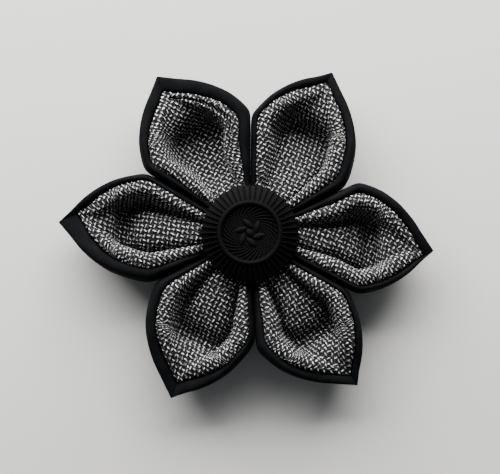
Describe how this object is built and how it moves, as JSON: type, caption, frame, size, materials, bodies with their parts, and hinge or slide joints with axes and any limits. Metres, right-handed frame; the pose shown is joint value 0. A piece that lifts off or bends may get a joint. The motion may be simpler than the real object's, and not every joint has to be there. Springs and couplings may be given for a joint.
{
  "type": "flower lapel pin",
  "caption": "Folded-cloth flower brooch with pointed black cup petals, tweed petals nested in them, a moulded ridged button in the middle and a bar pin behind.",
  "frame": {"origin": "on the button's axis, in the plane that the undersides of the petals rest on", "axes": "+Z out of the flower's face, towards the viewer; +X towards the right-hand petal and +Y towards the top of the picture"},
  "size_m": [0.0869, 0.0759, 0.0158],
  "materials": {
    "black_cloth": "smooth close-woven black cotton with a faint sheen",
    "tweed": "coarse black and off-white woven tweed",
    "button": "satin black moulded",
    "pin_metal": "plain plated"
  },
  "bodies": {
    "root": {"black_petal_1": "black_cloth", "black_petal_2": "black_cloth", "black_petal_3": "black_cloth", "black_petal_4": "black_cloth", "black_petal_5": "black_cloth", "black_petal_6": "black_cloth", "tweed_petal_1": "tweed", "tweed_petal_2": "tweed", "tweed_petal_3": "tweed", "tweed_petal_4": "tweed", "tweed_petal_5": "tweed", "tweed_petal_6": "tweed", "button": "button", "bar_pin": "pin_metal"}
  },
  "joints": []
}
